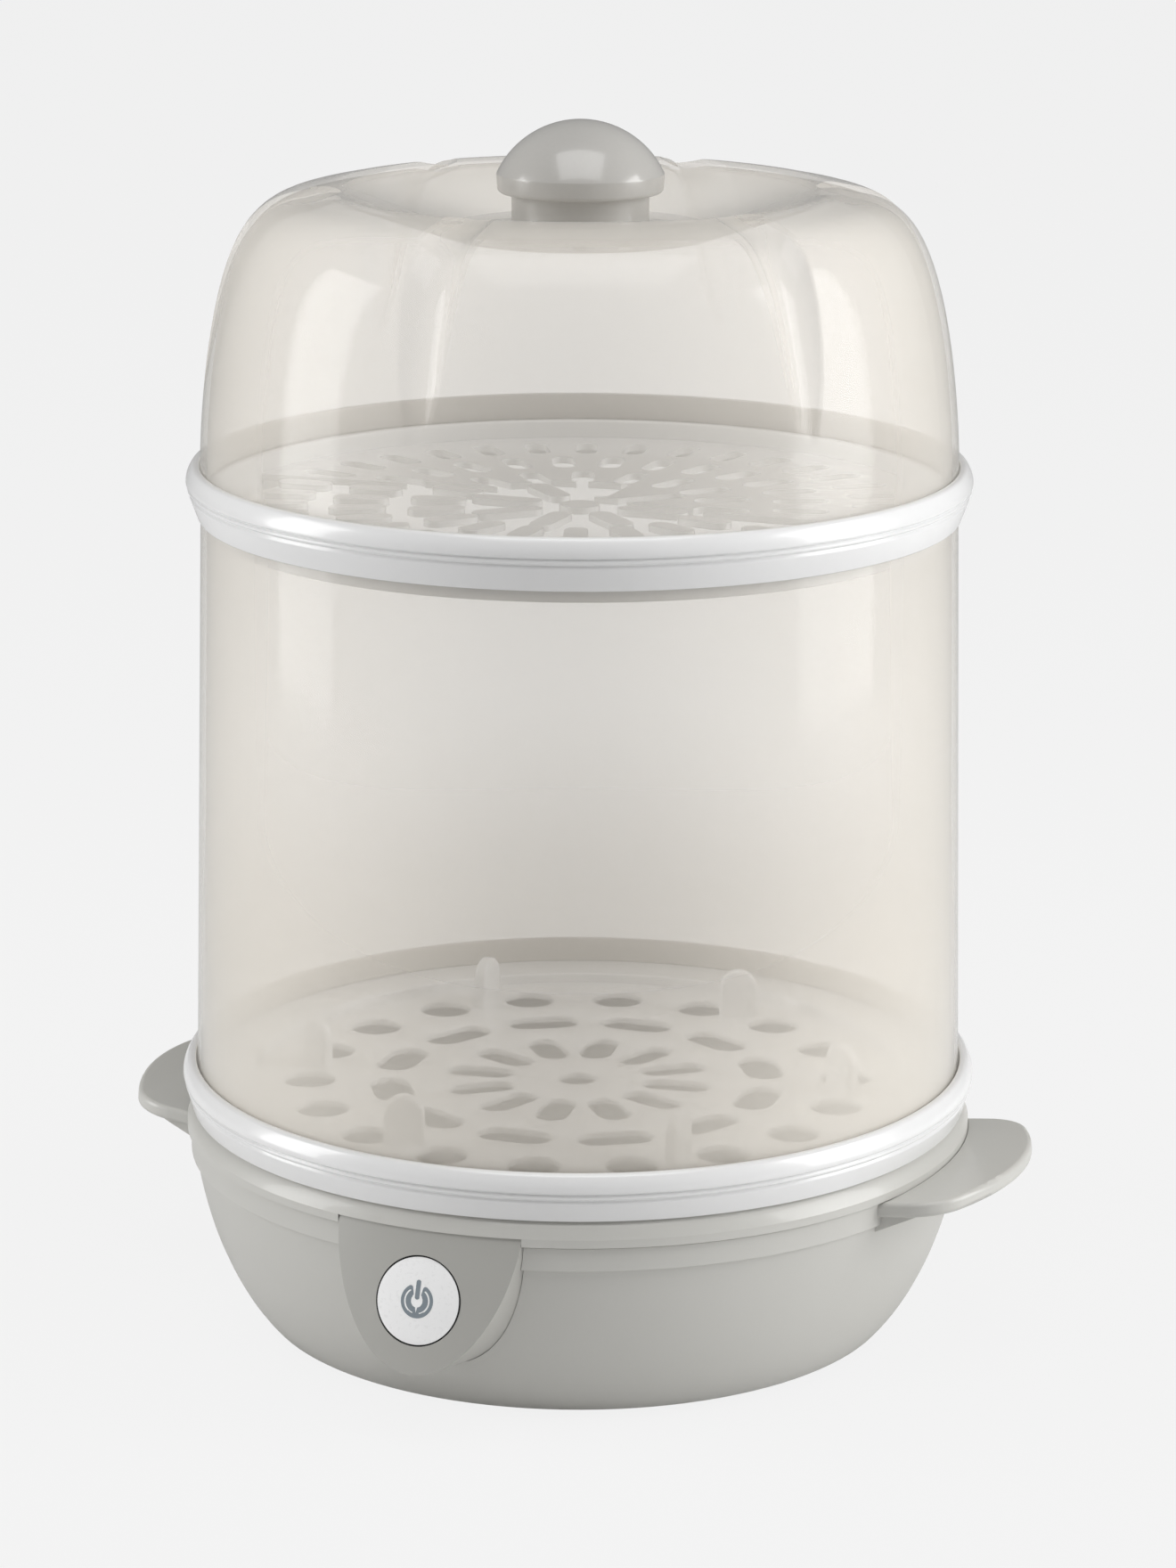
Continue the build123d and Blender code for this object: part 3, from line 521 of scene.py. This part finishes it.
# Cylinder
# A tall clear drum, a little wider at the bottom. It stands loose in the lower tray's
# socket and carries the upper tray on its upper edge.
def clear(name, middle, side, face, edge, fog=0.0, fog_foot=0.0, fog_top=1.0):
    """Milky clear plastic: greyer and more solid where it is seen at a slant, and foggy low down."""
    paint = Paint(name)
    slant = paint.node("LayerWeight", None, {"Blend": 0.35}, output="Facing") ** 1.6
    place = paint.node("TexCoord", output="Object")
    height = paint.node("SeparateXYZ", None, {"Vector": place}, output="Z")
    low = paint.node("MapRange", {"interpolation_type": "SMOOTHSTEP"}, {
        "Value": height,
        "From Min": fog_foot,
        "From Max": fog_top,
        "To Min": fog,
        "To Max": 0.0,
    })
    cloud = paint.node("TexNoise", None, {"Vector": place, "Scale": 9.0, "Detail": 1.0})
    tone = paint.node("Mix", {"data_type": "RGBA"}, {0: slant, 6: middle, 7: side}, output=2)
    surface = paint.node("BsdfPrincipled", None, {
        "Base Color": tone,
        "Roughness": 0.1 + cloud * 0.04,
        "Alpha": face + (edge - face) * slant + low,
        "Specular IOR Level": 0.5,
    })
    return paint.finish(surface)


cream = linear(249, 243, 233)
slant_grey = linear(182, 181, 177)
cover_facing = 0.2
cover_slanted = 0.8
clear_plastic = clear("clear_plastic", cream, slant_grey, cover_facing, cover_slanted)
cylinder_plastic = clear(
    "cylinder_plastic",
    cream,
    slant_grey,
    cover_facing,
    cover_slanted,
    fog=0.2,
    fog_foot=0.085,
    fog_top=0.17,
)
cylinder_foot = 74.0
cylinder_top = 252.0
cylinder_wall = 2.0
foot_radius = 115.1
top_radius = 111.2
edge_round = 0.5
bm = turned([
    (foot_radius - cylinder_wall, cylinder_foot),
    (foot_radius, cylinder_foot),
    (top_radius, cylinder_top),
    (top_radius - cylinder_wall, cylinder_top),
], {corner: edge_round for corner in range(4)})
add_piece("clear_cylinder", bm, cylinder_plastic, "cylinder", ["steam_cylinder"])


# Upper tray
# The same white ring, a size smaller, with a slotted floor for small things. It stands
# on the cylinder and the lid stands in its socket.
upper_lip = 261.75
upper_floor = 248.5
upper_floor_radius = 107.0
slot_width = 7.0
slot_rings = ((12.0, 34.0, 8), (34.0, 51.0, 18), (57.0, 74.0, 28), (80.0, 97.0, 36))

outline, rounds = ring_outline(
    lip_radius=111.55,
    lip=upper_lip,
    ledge=254.0,
    skirt=112.1,
    skirt_drop=15.25,
    socket=111.55,
    under=252.0,
    wall=108.85,
    wall_bottom=242.75,
)
bm = turned(outline, rounds)
holes = [hole_outline(middle_hole, middle_hole)]
for inner, outer, count in slot_rings:
    slot = hole_outline(outer - inner, slot_width, steps=6)
    holes += ring_of(slot, count, circle=(inner + outer) / 2, turn=0.0)
floor_plate(bm, upper_floor_radius, upper_floor - floor_thickness, upper_floor, holes)
add_piece("white_upper_tray", bm, white_plastic, "upper_tray", ["upper_tray"])


# Lid
# A clear cap whose wall rolls over a shoulder into a dished top. Six round flutes are
# pressed into the wall for grip. It stands in the upper tray's socket.
dress(clear_plastic, "lid")


# Knob
# A glossy grey mushroom, moulded in one and screwed to the lid from below.
knob_grey = linear(184, 182, 178)
knob_plastic = moulded("knob_plastic", knob_grey, 0.2, coat=0.4)
knob_top = 361.5
cap_foot = 346.0
knob_seat = 330.3
cap_underside = 340.6
cap_radius = 24.4
cap_lean = 0.3
neck_radius = 20.0
cap_rise = knob_top - cap_foot
cap_sphere = (cap_radius**2 + cap_rise**2) / (2 * cap_rise)
outline = [
    (0.0, knob_seat),
    (neck_radius, knob_seat),
    (neck_radius, cap_underside),
    (cap_radius - cap_lean, cap_underside),
    (cap_radius, cap_foot),
]
steps = 20
for i in range(1, steps + 1):
    radius = cap_radius * math.cos(math.radians(90.0 * i / steps))
    outline.append((radius, knob_top - cap_sphere + math.sqrt(cap_sphere**2 - radius**2)))
outline[-1] = (0.0, knob_top)
bm = turned(outline, {2: 0.8, 3: 1.3, 4: 1.5}, steps=160)
add_piece("grey_knob", bm, knob_plastic, "lid", ["lid_knob"])


# Power button
# A white domed button in a round hole of the chin. Its face carries a printed grey power
# symbol. A black ring set into the gap round it is painted shade, where the gap falls in shadow.
button_axis = Vector((0, -0.957826, 0.287348))
button_middle = Vector((0, -123.59, 42.5))
button_radius = 12.4
dome_rise = 0.9
dome_top = 0.5
dome_sphere = (button_radius**2 + dome_rise**2) / (2 * dome_rise)
across = Vector((1, 0, 0))
upwards = button_axis.cross(across)
gap_clearance = 0.02
gap_width = 0.46
gap_depth = 0.55
gap_thickness = 0.8
symbol_radius = 4.15
symbol_stroke = 1.5
symbol_opening = 33
arc_steps = 48
end_steps = 8
bar_length = 5.6
bar_foot = 0.4
print_height = 0.05

button_white = linear(247, 247, 247)
button_plastic = moulded("button_plastic", button_white, 0.25, bump=0.0, grain=0.01)
dress(button_plastic, "power_button")


def on_button(x, y, lift):
    """A place over the domed face, x towards the right, y up and lift outwards from it."""
    dome = dome_top - (x * x + y * y) / (2 * dome_sphere)
    return (button_middle + across * x + upwards * y + button_axis * (dome + lift)) * mm


def raised_print(bm, points):
    """Adds a thin printed shape to a mesh from its outline on the button's face."""
    under = [bm.verts.new(on_button(x, y, -print_height)) for x, y in points]
    over = [bm.verts.new(on_button(x, y, print_height)) for x, y in points]
    bm.faces.new(under[::-1])
    bm.faces.new(over)
    for i in range(len(points)):
        bm.faces.new((under[i - 1], under[i], over[i], over[i - 1]))


def round_end(x, y, radius, start):
    """Half a circle of points that begins in the direction start, in degrees."""
    turns = [math.radians(start + 180 * i / end_steps) for i in range(1, end_steps)]
    return [(x + radius * math.cos(t), y + radius * math.sin(t)) for t in turns]


def on_circle(radius, turn):
    return (radius * math.cos(turn), radius * math.sin(turn))


bm = bmesh.new()
half = symbol_stroke / 2
first_turn = 90 + symbol_opening
last_turn = 450 - symbol_opening
sweep = last_turn - first_turn
turns = [math.radians(first_turn + sweep * i / arc_steps) for i in range(arc_steps + 1)]
points = [on_circle(symbol_radius + half, turn) for turn in turns]
points += round_end(*on_circle(symbol_radius, turns[-1]), half, last_turn)
points += [on_circle(symbol_radius - half, turn) for turn in turns[::-1]]
points += round_end(*on_circle(symbol_radius, turns[0]), half, first_turn + 180)
raised_print(bm, points)
points = round_end(0, bar_foot + half, half, 180)
points += round_end(0, bar_foot + bar_length - half, half, 0)
raised_print(bm, points)
bmesh.ops.triangulate(bm, faces=[face for face in bm.faces if len(face.verts) > 4])
bmesh.ops.recalc_face_normals(bm, faces=bm.faces[:])
print_grey = moulded("print_grey", linear(128, 138, 145), 0.5, grain=0.0, bump=0.0)
add_piece("power_symbol", bm, print_grey, "button")

# A black ring just under the face, in the gap round the button: painted shade for the gap's shadow.
painted_gap_shade = moulded("painted_gap_shade", linear(20, 20, 21), 0.7, grain=0.0, bump=0.0)
gap_inside = button_radius + gap_clearance
gap_outside = gap_inside + gap_width
bm = turned([
    (gap_inside, -gap_depth - gap_thickness),
    (gap_outside, -gap_depth - gap_thickness),
    (gap_outside, -gap_depth),
    (gap_inside, -gap_depth),
], steps=96)
face_turn = Matrix((across, upwards, button_axis)).transposed().to_4x4()
face_place = Matrix.Translation(button_middle * mm)
bmesh.ops.transform(bm, matrix=face_place @ face_turn, verts=bm.verts[:])
add_piece("painted_gap_shade_ring", bm, painted_gap_shade, "base")
